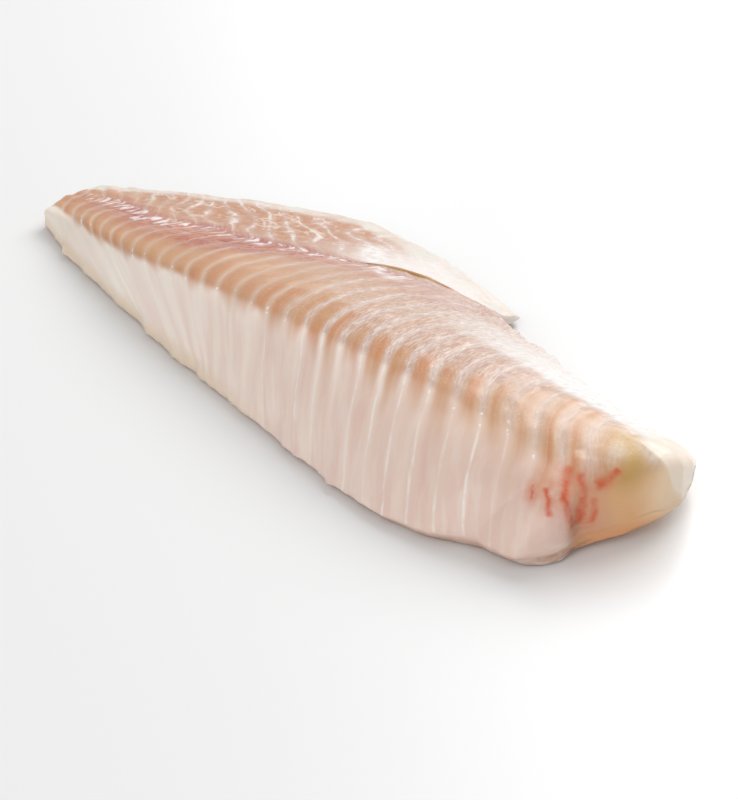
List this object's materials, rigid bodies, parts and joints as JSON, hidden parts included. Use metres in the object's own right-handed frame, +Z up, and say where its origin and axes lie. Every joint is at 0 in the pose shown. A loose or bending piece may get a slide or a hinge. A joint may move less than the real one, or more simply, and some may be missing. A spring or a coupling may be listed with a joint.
{
  "type": "cod fillet",
  "caption": "Raw skinless white fish fillet, skin side up: thick flaky loin, thin belly flap parted by a slit, tapered tail and blunt rounded head end.",
  "frame": {"origin": "centre of the bounding box, on the underside", "axes": "+X along the fillet to the head end, +Y to the belly side, +Z up out of the skin side"},
  "size_m": [0.3449, 0.1485, 0.0361],
  "materials": {
    "raw_fish": "wet, glossy, slightly translucent raw flesh"
  },
  "bodies": {
    "root": {"fillet": "raw_fish"}
  },
  "joints": []
}
